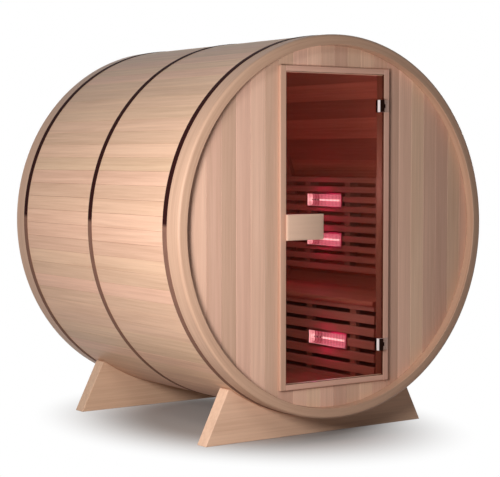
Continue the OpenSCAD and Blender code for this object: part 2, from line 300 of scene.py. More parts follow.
@dataclass(frozen=True)
class Wood(Finish):
    """Planed softwood with streaks, fine lines and boards of different tone."""

    pale: Colour
    deep: Colour
    warm: Colour
    spread: float = 0.10
    hues: float = 0.05
    contrast: float = 1.0
    grain: Grain = Grain.BOARD
    drift: Noise = Noise((14.0, 14.0, 0.8))
    streaks: Noise = Noise((70.0, 70.0, 1.6), 4.0, 0.6)
    lines: Noise = Noise((330.0, 330.0, 5.0), 3.0, 0.6)
    fibres: Noise = Noise((1400.0, 1400.0, 40.0))
    drift_share: float = 0.6
    line_share: float = 0.45
    warm_share: float = 0.35
    grain_limits: Point = (0.1, 0.9)
    warm_limits: Point = (0.45, 0.75)
    darkest: Colour = (1.0, 1.15, 1.3)
    lightest: Colour = (0.9, 0.9, 0.8)
    hue_turns: float = 13.7
    roughness: float = 0.5
    fibre_roughness: float = 0.18
    streak_roughness: float = 0.12
    gloss: float = 0.4
    relief: Point = (0.25, 0.0006)

    def place(self, tree: Tree) -> Value:
        """Finds the place on the wood.

        Args:
            tree: Node tree of the material.

        Returns:
            Place in metres with the grain along the third axis.
        """
        if self.grain is Grain.BOARD:
            return tree.attribute("grain", "Vector")
        whole = tree.place()
        order = {0: tree.part(whole, 1), 1: tree.part(whole, 2), 2: tree.part(whole, 0)}
        return tree.value("ShaderNodeCombineXYZ", order)

    def vary(self, tree: Tree, colour: Value) -> Value:
        """Gives each board its own tone and hue.

        Args:
            tree: Node tree of the material.
            colour: Colour of the wood.

        Returns:
            Colour of the board.
        """
        tone = tree.attribute("tone", "Fac")
        low = tuple(1.0 - self.spread * part for part in self.darkest)
        high = tuple(1.0 + self.spread * part for part in self.lightest)
        colour = tree.mix(1.0, colour, tree.mix(tone, low, high), "MULTIPLY")
        pink = (1.0 + self.hues, 1.0 - self.hues / 3, 1.0 + self.hues / 3)
        sand = (1.0 - self.hues / 2, 1.0, 1.0 - self.hues)
        hue = (tone * self.hue_turns).fraction()
        return tree.mix(1.0, colour, tree.mix(hue, pink, sand), "MULTIPLY")

    def shade(self, tree: Tree) -> None:
        """Adds streaks, lines and drifts of colour, with fibres in relief.

        Args:
            tree: Node tree of the material.
        """
        place = self.place(tree)
        noises = (self.drift, self.streaks, self.lines, self.fibres)
        drift, streaks, lines, fibres = (tree.noise(place, noise) for noise in noises)
        swing = streaks.swing() + self.line_share * lines.swing()
        share = NOISE_MIDDLE + self.contrast * (swing + self.drift_share * drift.swing())
        colour = tree.mix(share.step(*self.grain_limits), self.deep, self.pale)
        colour = tree.mix(drift.step(*self.warm_limits) * self.warm_share, colour, self.warm)
        if self.grain is Grain.BOARD:
            colour = self.vary(tree, colour)
        uneven = self.fibre_roughness * fibres.swing() + self.streak_roughness * streaks.swing()
        tree.principled({
            "Base Color": colour,
            "Roughness": self.roughness + uneven,
            "Normal": tree.bump(0.5 * lines + 0.5 * fibres, *self.relief),
            "Specular IOR Level": self.gloss,
        })


@dataclass(frozen=True)
class HoopSteel(Finish):
    """Satin dark steel band with a painted reflection of the floor on its lower half."""

    # upper is the steel's own colour; lower is a painted reflection of the floor.
    upper: Colour
    lower: Colour
    turn_z: float
    turn_soft: float = 0.012
    brush: Noise = Noise((6.0, 900.0, 6.0), 3.0)
    mottle: Noise = Noise((30.0, 30.0, 30.0), 3.0)
    mottle_share: float = 0.3
    roughness: float = 0.55
    brush_roughness: float = 0.2
    gloss: float = 0.02
    relief: Point = (0.12, 0.0003)

    def shade(self, tree: Tree) -> None:
        """Adds the dark steel, the painted floor reflection below and a brushed, mottled surface.

        Args:
            tree: Node tree of the material.
        """
        place = tree.place()
        brushed, mottle = tree.noise(place, self.brush), tree.noise(place, self.mottle)
        # Painted reflection: below this height the band takes the lighter colour of the floor's
        # reflection.
        above_reflection_edge = tree.part(place, 2).edge(self.turn_z, self.turn_soft)
        colour = tree.mix(above_reflection_edge, self.lower, self.upper)
        tree.principled({
            "Base Color": tree.mix(self.mottle_share * mottle, colour, BLACK),
            "Roughness": self.roughness + self.brush_roughness * brushed.swing(),
            "Normal": tree.bump(brushed, *self.relief),
            "Specular IOR Level": self.gloss,
        })


@dataclass(frozen=True)
class Metal(Finish):
    """Bright or dark metal, or a plain dark strip, with a fine polish pattern."""

    colour: Colour
    roughness: float
    metallic: float = 1.0
    gloss: float = 0.5
    polish: Noise = Noise((1500.0, 1500.0, 60.0))
    haze: Noise = Noise((80.0, 80.0, 80.0), 3.0)
    haze_share: float = 0.12
    polish_roughness: float = 0.08
    haze_roughness: float = 0.06
    relief: Point = (0.05, 0.0002)

    def shade(self, tree: Tree) -> None:
        """Adds the polish and a faint haze.

        Args:
            tree: Node tree of the material.
        """
        place = tree.place()
        polish, haze = tree.noise(place, self.polish), tree.noise(place, self.haze)
        uneven = self.polish_roughness * polish.swing() + self.haze_roughness * haze.swing()
        tree.principled({
            "Base Color": tree.mix(self.haze_share * haze, self.colour, BLACK),
            "Metallic": self.metallic,
            "Roughness": self.roughness + uneven,
            "Normal": tree.bump(polish, *self.relief),
            "Specular IOR Level": self.gloss,
        })


@dataclass(frozen=True)
class TintedGlass(Finish):
    """Bronze glass that tints what is seen through it, with a faint gloss."""

    tint: Colour
    body: Colour
    film: Noise = Noise((5.0, 5.0, 2.0), 4.0)
    gloss_share: float = 0.03
    film_share: float = 0.03
    roughness: float = 0.03
    film_roughness: float = 0.05
    gloss: float = 0.3

    def shade(self, tree: Tree) -> None:
        """Adds a clear tint under a glossy film.

        Args:
            tree: Node tree of the material.
        """
        film = tree.noise(tree.place(), self.film)
        clear = tree.value("ShaderNodeBsdfTransparent", {"Color": self.tint})
        gloss = tree.value("ShaderNodeBsdfPrincipled", {
            "Base Color": self.body,
            "Roughness": self.roughness + self.film_roughness * film,
            "Specular IOR Level": self.gloss,
        })
        tree.blend(self.gloss_share + self.film_share * film, clear, gloss)


@dataclass(frozen=True)
class HeaterGlowAndPaintedLight(Finish):
    """Heater surface that glows along its rod's lit length and is dark at the holder; the rod is the
    lamp, while on the trough and end plate the glow is painted light from the rod.
    """

    hot: Colour
    dark: Colour
    strength: float
    lit_end: float
    bars: float = 0.0
    tip_start: float = 0.20
    lit_start: float = -0.118
    start_soft: Point = (0.022, 0.012)
    start_glow: float = 0.35
    end_soft: float = 0.006
    tip_soft: float = 0.003
    tip_glow: float = 0.6
    bar_pitch: float = 0.0258
    bar_place: float = 0.1205
    patches: Noise = Noise((40.0, 25.0, 40.0))
    patch_limits: Point = (0.85, 1.15)
    roughness: float = 0.4
    patch_roughness: float = 0.1

    def shade(self, tree: Tree) -> None:
        """Adds the lit length, the bars of the holder and the bright tip; on the trough the bars are
        painted shade of the holder.

        Args:
            tree: Node tree of the material.
        """
        place = tree.attribute("hot_place", "Vector")
        along = tree.part(place, 1)
        uneven = tree.noise(place, self.patches)
        turn = (along - (self.bar_place + self.bar_pitch / 4)) * (math.tau / self.bar_pitch)
        stripes = 0.5 + 0.5 * turn.sine()
        before, after = self.start_soft
        lit = along.step(self.lit_start - before, self.lit_start + after)
        lit = self.start_glow + (1.0 - self.start_glow) * lit
        unlit = along.edge(self.lit_end, self.end_soft)
        tip = along.edge(self.tip_start, self.tip_soft)
        share = lit * (1.0 - unlit) + unlit * stripes * self.bars + self.tip_glow * tip
        least, most = self.patch_limits
        colour = tree.mix(share * (least + (most - least) * uneven), self.dark, self.hot)
        tree.principled({
            "Base Color": colour,
            "Roughness": self.roughness + self.patch_roughness * uneven.swing(),
            "Emission Color": colour,
            "Emission Strength": self.strength,
        })


@dataclass(frozen=True)
class PaleFloor(Finish):
    """Floor that keeps a shadow near the object and shows white away from it."""

    colour: Colour = (0.41, 0.37, 0.345)
    glow: float = 0.04
    near: float = 0.40
    far: float = 1.00
    middle: Triple = (-0.08, -0.12, 0.0)
    shape: Triple = (1.0, 0.75, 1.0)

    def shade(self, tree: Tree) -> None:
        """Adds a matt floor that turns white with the distance.

        Args:
            tree: Node tree of the material.
        """
        matt = tree.value("ShaderNodeBsdfDiffuse", {"Color": self.colour})
        white = tree.value("ShaderNodeEmission", {"Color": WHITE, "Strength": 1.0})
        offset = tree.vector("SUBTRACT", tree.place(), self.middle)
        away = tree.vector("LENGTH", tree.vector("MULTIPLY", offset, self.shape), output="Value")
        pale = self.glow + (1.0 - self.glow) * away.step(self.near, self.far)
        tree.blend(pale * tree.seen(), matt, white)


class Look(NamedTuple):
    """A material with the slot of the record that it belongs to."""

    material: bpy.types.Material
    slot: str


SHARED_SLOTS = {
    "door_seal": "hinge_dark",
    "floor_wood": "inside_wood",
    "handle_wood": "frame_wood",
    "hinge_satin": "hinge_chrome",
    "slat_wood": "inside_wood",
}


def make_looks(axis_h: float, hoop_turn_rise: float = 0.028) -> dict[str, Look]:
    """Builds the finishes of the object.

    Args:
        axis_h: Height of the barrel's axis.
        hoop_turn_rise: Height over the axis up to which the hoops carry a painted floor reflection.

    Returns:
        The looks by name.
    """
    hoop_reflection_z = axis_h + hoop_turn_rise
    room = ((0.70, 0.46, 0.31), (0.50, 0.29, 0.18), (0.62, 0.36, 0.24))
    wall = ((0.835, 0.56, 0.425), (0.665, 0.415, 0.30), (0.765, 0.475, 0.352))
    foot = ((0.80, 0.535, 0.39), (0.66, 0.41, 0.29), (0.74, 0.455, 0.33))
    grip = {"contrast": 0.6, "grain": Grain.ALONG_X}
    rod = {"strength": 4.6, "lit_end": 0.055, "bars": 0.22, "tip_start": 0.12}
    finishes = (
        Wood("stave_wood", (0.82, 0.545, 0.385), (0.62, 0.375, 0.25), (0.74, 0.45, 0.31), 0.09),
        Wood("rim_wood", (0.65, 0.41, 0.295), (0.49, 0.285, 0.20), (0.58, 0.34, 0.245)),
        Wood("end_wall_wood", *wall, spread=0.2, hues=0.04, contrast=0.9),
        Wood("frame_wood", (0.725, 0.45, 0.342), (0.58, 0.335, 0.248), (0.655, 0.38, 0.285), 0.2),
        # reveal_wood is a darker copy of frame_wood: painted shade on the faces inside the doorway.
        Wood("reveal_wood", (0.46, 0.37, 0.23), (0.37, 0.28, 0.17), (0.42, 0.31, 0.20)),
        Wood("handle_wood", (0.80, 0.54, 0.40), (0.71, 0.465, 0.335), (0.76, 0.49, 0.36), **grip),
        Wood("cradle_wood", *foot, contrast=1.05),
        Wood("inside_wood", *room, spread=0.12),
        Wood("slat_wood", (0.71, 0.60, 0.47), (0.55, 0.44, 0.33), (0.63, 0.485, 0.375)),
        # The cabin floor's darker copy of inside_wood is painted shade.
        Wood("floor_wood", (0.50, 0.33, 0.22), (0.36, 0.21, 0.13), (0.44, 0.26, 0.17), 0.12),
        Wood("lining_wood", *room, spread=0.27, hues=0.02),
        # The hoops' lighter lower colour is a painted reflection of the floor.
        HoopSteel("hoop_steel", (0.030, 0.006, 0.005), (0.265, 0.135, 0.096), hoop_reflection_z),
        # hinge_chrome is a white non-metal, a painted bright reflection of chrome; hinge_dark on the
        # hinges is its painted dark reflection.
        Metal("hinge_chrome", (0.96, 0.93, 0.91), 0.25, metallic=0.0),
        Metal("hinge_satin", (0.42, 0.27, 0.22), 0.5, metallic=0.5),
        Metal("hinge_dark", (0.016, 0.004, 0.002), 0.5, metallic=0.0, gloss=0.03),
        Metal("door_seal", (0.12, 0.04, 0.022), 0.7, metallic=0.0, gloss=0.05),
        Metal("heater_sheet", (0.55, 0.42, 0.42), 0.40),
        Metal("heater_wire", (0.30, 0.05, 0.08), 0.45),
        # The trough's and end plate's glow is painted light from the rod, and the trough's dark bars
        # are painted shade of the holder; the rod itself is the lamp.
        HeaterGlowAndPaintedLight("heater_trough", (0.53, 0.34, 0.44), (0.26, 0.012, 0.06), 1.78, 0.090, bars=0.8),
        HeaterGlowAndPaintedLight("heater_plate", (0.90, 0.95, 1.0), (0.5, 0.4, 0.45), 1.8, 0.30),
        HeaterGlowAndPaintedLight("heater_rod", (0.9, 0.95, 1.0), (0.05, 0.005, 0.02), **rod),
        TintedGlass("tinted_glass", (0.60, 0.395, 0.375), (0.05, 0.015, 0.01)),
    )
    built = {finish.name: finish.build() for finish in finishes}
    return {name: Look(made, SHARED_SLOTS.get(name, name)) for name, made in built.items()}


# Mesh building

SHARP_ANGLE = math.radians(32.0)
FLAT_ANGLE = math.radians(0.5)
MERGE_DISTANCE = 0.00002
EASE_SEGMENTS = 2


class Body(Enum):
    """CAD body that a piece rides on."""

    CABIN = "cabin"
    DOOR = "door"


class Along(Enum):
    """Which of a board's own axes runs with the grain."""

    U = 0
    V = 1
    W = 2


class Boards:
    """Collects boards into one mesh, each with its own grain and tone."""

    grain_shift = 20.0
    tone_shape = 2.2

    def __init__(self, name: str, seed: int) -> None:
        """Starts an empty piece.

        Args:
            name: Name of the piece.
            seed: Seed of the boards' tones and grain.
        """
        self.name = name
        self.random = random.Random(seed)
        self.points: list[Vector] = []
        self.faces: list[list[int]] = []
        self.grain: list[float] = []
        self.tones: list[float] = []

    def add(
        self,
        outline: Sequence[Point],
        stations: Sequence[float],
        place: Place,
        along: Along = Along.W,
        closed: bool = False,
        tone: float | None = None,
    ) -> None:
        """Adds one board.

        Args:
            outline: Corners in u and v, in order round the board.
            stations: Positions along w at which the outline is repeated.
            place: Gives the point at u, v and w.
            along: Axis of the grain.
            closed: Whether the last station joins the first, as on a ring.
            tone: Tone from 0 to 1, or none for a random one.
        """
        first, count, last = len(self.points), len(outline), len(stations) - 1
        shift = [self.random.uniform(0.0, self.grain_shift) for _ in range(3)]
        if tone is None:
            tone = self.random.betavariate(self.tone_shape, self.tone_shape)
        rings = stations[:-1] if closed else stations
        self.points += [place(u, v, w) for w in rings for u, v in outline]
        loops = []
        for s in range(last):
            for c in range(count):
                n = (c + 1) % count
                loops.append([(s, c), (s, n), (s + 1, n), (s + 1, c)])
        if not closed:
            loops.append([(0, c) for c in reversed(range(count))])
            loops.append([(last, c) for c in range(count)])
        for loop in loops:
            self.faces.append([first + s % len(rings) * count + c for s, c in loop])
            self.tones += [tone] * len(loop)
            for s, c in loop:
                own = [*outline[c], stations[s]]
                own.append(own.pop(along.value))
                self.grain += [part + move for part, move in zip(own, shift)]

    def box(self, low: Sequence[float], high: Sequence[float], along: Along) -> None:
        """Adds a straight board between two corners.

        Args:
            low: Lowest corner.
            high: Highest corner.
            along: U, V or W for grain along X, Y or Z.
        """
        outline = [(low[0], low[1]), (high[0], low[1]), (high[0], high[1]), (low[0], high[1])]
        self.add(outline, (low[2], high[2]), straight, along)

    def piece(self, look: Look, node: str, bevel: float) -> bpy.types.Mesh:
        """Makes the object and puts it on the cabin.

        Args:
            look: Look of the boards.
            node: CAD node that the piece stands for, if any.
            bevel: Width of the eased edges, or 0 for none.

        Returns:
            The object's mesh.
        """
        mesh = bpy.data.meshes.new(self.name)
        mesh.from_pydata(self.points, [], self.faces)
        grain = mesh.attributes.new("grain", "FLOAT_VECTOR", "CORNER")
        grain.data.foreach_set("vector", self.grain)
        tone = mesh.attributes.new("tone", "FLOAT", "CORNER")
        tone.data.foreach_set("value", self.tones)
        work = bmesh.new()
        work.from_mesh(mesh)
        bmesh.ops.recalc_face_normals(work, faces=work.faces)
        work.to_mesh(mesh)
        work.free()
        settle(mesh, look, node, bevel, Body.CABIN)
        return mesh


def settle(mesh: bpy.types.Mesh, look: Look, node: str, bevel: float, body: Body) -> None:
    """Makes a piece of a mesh: material, smooth shading, eased edges and body.

    Args:
        mesh: The mesh, which gives the piece its name.
        look: Its look.
        node: CAD node that it stands for, if any.
        bevel: Width of the eased edges, or 0 for none.
        body: CAD body that it rides on.
    """
    made = bpy.data.objects.new(mesh.name, mesh)
    bpy.context.scene.collection.objects.link(made)
    mesh.materials.clear()
    mesh.materials.append(look.material)
    mesh.polygons.foreach_set("use_smooth", [True] * len(mesh.polygons))
    mesh.set_sharp_from_angle(angle=SHARP_ANGLE)
    if bevel > 0.0:
        ease = made.modifiers.new("eased_edges", "BEVEL")
        ease.width = bevel
        ease.segments = EASE_SEGMENTS
        ease.limit_method = "ANGLE"
        ease.angle_limit = SHARP_ANGLE
        ease.harden_normals = True
    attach(made, body.value)
    if node:
        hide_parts(node)
    LOG.info("%s on %s stands for %s", made.name, body.value, node or "no node")


def eased_copy(
    node: str, name: str, look: Look, bevel: float, body: Body = Body.CABIN
) -> bpy.types.Mesh:
    """Makes a piece with eased edges from a CAD node's shape.

    Args:
        node: The CAD node.
        name: Name of the new piece.
        look: Its look.
        bevel: Width of the eased edges.
        body: CAD body that it rides on.

    Returns:
        The new object's mesh.
    """
    mesh = frame["nodes"][node].data.copy()
    mesh.name = name
    work = bmesh.new()
    work.from_mesh(mesh)
    bmesh.ops.remove_doubles(work, verts=work.verts, dist=MERGE_DISTANCE)
    bmesh.ops.dissolve_limit(work, angle_limit=FLAT_ANGLE, verts=work.verts, edges=work.edges)
    work.to_mesh(mesh)
    work.free()
    settle(mesh, look, node, bevel, body)
    return mesh


def carry_over(node: str, look: Look) -> None:
    """Keeps a CAD node as it is and gives it a look.

    Args:
        node: The CAD node.
        look: Its look.
    """
    slots = frame["nodes"][node].data.materials
    slots.clear()
    slots.append(look.material)
    LOG.info("%s kept", node)


def straight(u: float, v: float, w: float) -> Vector:
    """Point at x, y and z as they are."""
    return Vector((u, v, w))


def even(start: float, end: float, count: int) -> list[float]:
    """Evenly spaced numbers from start to end."""
    return [start + (end - start) * i / (count - 1) for i in range(count)]


def arc(
    radius: float, start: float, end: float, count: int, centre: Point = (0.0, 0.0)
) -> list[Point]:
    """Points on a circle from one angle to another, in radians."""
    turns = even(start, end, count)
    return [(centre[0] + radius * math.cos(a), centre[1] + radius * math.sin(a)) for a in turns]


def chord(radius: float, offset: float) -> float:
    """Half the chord of a circle at an offset from its middle."""
    return math.sqrt(max(radius**2 - offset**2, 0.0))


# Sub-assemblies


class End(Enum):
    """End of the barrel, by the sign of its y."""

    FRONT = -1
    REAR = 1


@dataclass(frozen=True)
class Shell:
    """Round shape that the other pieces are placed by, in metres."""

    radius: float
    axis_h: float
    half_len: float
    rim_len: float
    bore_r: float
    rim_bore_r: float

    @classmethod
    def measure(cls, stave_t: float = 0.042, rim_t: float = 0.048) -> Shell:
        """Takes the sizes from the CAD model.

        Args:
            stave_t: Thickness of a stave.
            rim_t: Radial thickness of a rim.

        Returns:
            The measured shape.
        """
        low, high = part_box("front_rim")
        radius = (high.x - low.x) / 2
        return cls(
            radius=radius,
            axis_h=(low.z + high.z) / 2,
            half_len=-low.y,
            rim_len=high.y - low.y,
            bore_r=radius - stave_t,
            rim_bore_r=radius - rim_t,
        )

    @property
    def half_stave(self) -> float:
        """Half the length of a stave."""
        return self.half_len - self.rim_len

    def round(self, angle: float, r: float, y: float) -> Vector:
        """Point at an angle clockwise from the bottom, a radius and a length."""
        return Vector((-r * math.sin(angle), y, self.axis_h - r * math.cos(angle)))

    def flat(self, x: float, z: float, y: float) -> Vector:
        """Point at x and z from the barrel's axis."""
        return Vector((x, y, self.axis_h + z))


@dataclass
class Assembly(ABC):
    """Pieces that belong together, with the shell that places them and their looks."""

    shell: Shell
    looks: dict[str, Look]

    @abstractmethod
    def build(self) -> None:
        """Builds all the pieces."""


@dataclass
class Barrel(Assembly):
    """Staves, end rims and hoops."""

    stave_seeds: tuple[int, ...] = (100, 4575, 20203, 28489, 27344, 1887, *range(106, 112))
    rim_seed: int = 200
    hoop_seed: int = 300
    staves_each: int = 7
    stave_points: int = 5
    stave_gap: float = 0.0004
    stave_sink: float = 0.0004
    stave_bevel: float = 0.0010
    lining_facing: float = -0.5
    lining_pair: int = 2
    lining_lift: float = 0.8
    lining_spread: float = 0.2
    ring_steps: int = 288
    rim_round: float = 0.014
    rim_points: int = 8
    rim_ease: float = 0.002
    rim_tone: float = 0.5
    hoop_t: float = 0.002
    hoop_clear: float = 0.0002

    @property
    def stave_turn(self) -> float:
        """Angle that one stave takes of the circle."""
        return math.tau / (len(self.stave_seeds) * self.staves_each)

    def build(self) -> None:
        """Builds all the pieces."""
        for index, seed in enumerate(self.stave_seeds):
            self.build_staves(index, seed)
        self.build_rim("front_rim", End.FRONT)
        self.build_rim("rear_rim", End.REAR)
        for node in ("front_hoop", "middle_hoop", "rear_hoop"):
            self.build_hoop(node)

    def build_staves(self, index: int, seed: int) -> None:
        """Builds the staves of one wall segment.

        Args:
            index: Number of the segment, from 0.
            seed: Seed of the staves' tones.
        """
        shell, turn = self.shell, self.stave_turn
        boards = Boards(f"staves_{index + 1:02d}", seed)
        trim = self.stave_gap / 2 / shell.radius
        arcs = [part * shell.radius for part in even(trim, turn - trim, self.stave_points)]
        for stave in range(self.staves_each):
            start = (index * self.staves_each + stave) * turn
            outer_r = shell.radius - boards.random.uniform(0.0, self.stave_sink)
            outer = [(u, outer_r) for u in arcs]
            inner = [(u, shell.bore_r) for u in reversed(arcs)]
            boards.add(
                outer + inner,
                (-shell.half_stave, shell.half_stave),
                lambda u, v, w, a=start: shell.round(a + u / shell.radius, v, w),
            )
        node = f"stave_wall_{index + 1:02d}"
        self.line(boards.piece(self.looks["stave_wood"], node, self.stave_bevel))

    def line(self, mesh: bpy.types.Mesh) -> None:
        """Gives the inner faces the lining's look, with dark and light pairs of staves.

        Args:
            mesh: Mesh of the staves.
        """
        mesh.materials.append(self.looks["lining_wood"].material)
        tones = mesh.attributes["tone"].data
        for polygon in mesh.polygons:
            centre = polygon.center - Vector((0.0, polygon.center.y, self.shell.axis_h))
            if polygon.normal.dot(centre) > self.lining_facing * centre.length:
                continue
            polygon.material_index = 1
            stave = int(math.atan2(-centre.x, -centre.z) % math.tau / self.stave_turn)
            lift = self.lining_lift if stave // self.lining_pair % 2 else 0.0
            for corner in polygon.loop_indices:
                tones[corner].value = self.lining_spread * tones[corner].value + lift

    def build_rim(self, node: str, end: End) -> None:
        """Builds one end rim with its rounded outer edge.

        Args:
            node: The CAD node that it stands for.
            end: End of the barrel that it closes.
        """
        shell, side = self.shell, end.value
        middle = (shell.radius - self.rim_round, self.rim_round)
        profile = [
            (shell.rim_bore_r, shell.rim_len),
            (shell.rim_bore_r, self.rim_ease),
            (shell.rim_bore_r + self.rim_ease, 0.0),
            *arc(self.rim_round, -math.pi / 2, 0.0, self.rim_points, middle),
            (shell.radius, shell.rim_len),
        ]
        boards = Boards(node + "_ring", self.rim_seed + side)
        boards.add(
            profile,
            even(0.0, math.tau * shell.radius, self.ring_steps + 1),
            lambda u, v, w: shell.round(w / shell.radius, u, side * (shell.half_len - v)),
            closed=True,
            tone=self.rim_tone,
        )
        boards.piece(self.looks["rim_wood"], node, 0.0)

    def build_hoop(self, node: str) -> None:
        """Builds one steel hoop with eased edges.

        Args:
            node: The CAD node that it stands for.
        """
        near, far = (corner.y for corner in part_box(node))
        inner = self.shell.radius + self.hoop_clear
        outer, ease = inner + self.hoop_t, self.hoop_t / 3
        profile = [(inner, near), (outer - ease, near), (outer, near + ease)]
        profile += [(outer, far - ease), (outer - ease, far), (inner, far)]
        boards = Boards(node + "_band", self.hoop_seed)
        turns = even(0.0, math.tau, self.ring_steps + 1)
        boards.add(profile, turns, lambda u, v, w: self.shell.round(w, u, v), closed=True)
        boards.piece(self.looks["hoop_steel"], node, 0.0)


@dataclass
class EndWalls(Assembly):
    """Upright boards of both end walls."""

    seeds: tuple[int, ...] = (24804, 8455, 26066, 3310, 404)
    board_w: float = 0.08
    board_gap: float = 0.0004
    least_board: float = 0.01
    edge_points: int = 9
    clear: float = 0.0002
    bevel: float = 0.0014

    def build(self) -> None:
        """Builds all the walls."""
        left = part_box("door_jamb_left")[0].x
        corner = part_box("door_jamb_right")[1]
        right, top = corner.x, corner.z - self.shell.axis_h
        far = self.shell.rim_bore_r - self.clear
        limits = {
            "front_wall_left": ((-far, left), (-far, far)),
            "front_wall_right": ((right, far), (-far, far)),
            "front_wall_over_door": ((left, right), (top, far)),
            "front_wall_under_door": ((left, right), (-far, -top)),
            "back_wall": ((-far, far), (-far, far)),
        }
        for seed, (node, (width, height)) in zip(self.seeds, limits.items()):
            self.build_wall(node, width, height, seed)

    def build_wall(self, node: str, width: Point, height: Point, seed: int) -> None:
        """Builds the boards of one part of a wall.

        Args:
            node: The CAD node that they stand for.
            width: Left and right limits.
            height: Lower and upper limits from the barrel's axis.
            seed: Seed of the boards' tones.
        """
        near, far = (corner.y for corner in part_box(node))
        radius = self.shell.rim_bore_r - self.clear
        numbers = range(*(math.ceil(side / self.board_w) for side in width))
        inner = [number * self.board_w for number in numbers]
        inner = [x for x in inner if min(x - width[0], width[1] - x) > self.least_board]
        joints = [width[0], *inner, width[1]]
        boards = Boards(node + "_boards", seed)
        for start, end in zip(joints, joints[1:]):
            xs = even(start + self.board_gap / 2, end - self.board_gap / 2, self.edge_points)
            top = [(x, min(height[1], chord(radius, x))) for x in xs]
            bottom = [(x, max(height[0], -chord(radius, x))) for x in reversed(xs)]
            if max(z for _, z in top) - min(z for _, z in bottom) < self.least_board:
                continue
            outline = list(dict.fromkeys(top + bottom))
            boards.add(outline, (near, far), self.shell.flat, Along.V)
        boards.piece(self.looks["end_wall_wood"], node, self.bevel)


@dataclass
class DoorFrame(Assembly):
    """Jambs, head and sill round the doorway, with a thin dark strip in the gap round the door."""

    sides: tuple[tuple[str, Along, int], ...] = (
        ("door_jamb_left", Along.W, 500),
        ("door_jamb_right", Along.W, 617),
        ("door_head", Along.U, 501),
        ("door_sill", Along.U, 614),
    )
    bevel: float = 0.0022
    reveal_facing: float = 0.5
    seal_seed: int = 510
    seal_t: float = 0.0008
    seal_inset: float = 0.0012
    seal_depth: float = 0.0125
    seal_seam: float = 0.0001
    seal_bevel: float = 0.0002

    def build(self) -> None:
        """Builds the four pieces and the dark strip in the door's gap."""
        for node, along, seed in self.sides:
            boards = Boards(node + "_board", seed)
            boards.box(*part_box(node), along)
            # The reveal's darker wood is painted shade.
            self.darken_reveal(boards.piece(self.looks["frame_wood"], node, self.bevel))
        self.build_seal()

    def darken_reveal(self, mesh: bpy.types.Mesh) -> None:
        """Gives the faces towards the doorway a darker copy of the frame's wood, as painted shade in
        the doorway's recess.

        Args:
            mesh: Mesh of one side of the frame.
        """
        low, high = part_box("door_glass")
        middle = (low + high) / 2
        mesh.materials.append(self.looks["reveal_wood"].material)
        for polygon in mesh.polygons:
            inward = (middle - polygon.center).dot(polygon.normal) > 0.0
            polygon.material_index = int(inward and abs(polygon.normal.y) < self.reveal_facing)

    def build_seal(self) -> None:
        """Builds the thin dark strip on the inner faces of the frame, in the gap round the door."""
        left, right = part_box("door_jamb_left")[1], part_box("door_jamb_right")[0]
        head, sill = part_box("door_head")[0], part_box("door_sill")[1]
        near = right.y + self.seal_inset
        far = near + self.seal_depth
        t = self.seal_t
        boards = Boards("door_seal", self.seal_seed)
        boards.box((left.x, near, sill.z), (left.x + t, far, head.z), Along.W)
        boards.box((right.x - t, near, sill.z), (right.x, far, head.z), Along.W)
        start, end = left.x + t + self.seal_seam, right.x - t - self.seal_seam
        boards.box((start, near, head.z - t), (end, far, head.z), Along.U)
        boards.box((start, near, sill.z), (end, far, sill.z + t), Along.U)
        boards.piece(self.looks["door_seal"], "", self.seal_bevel)


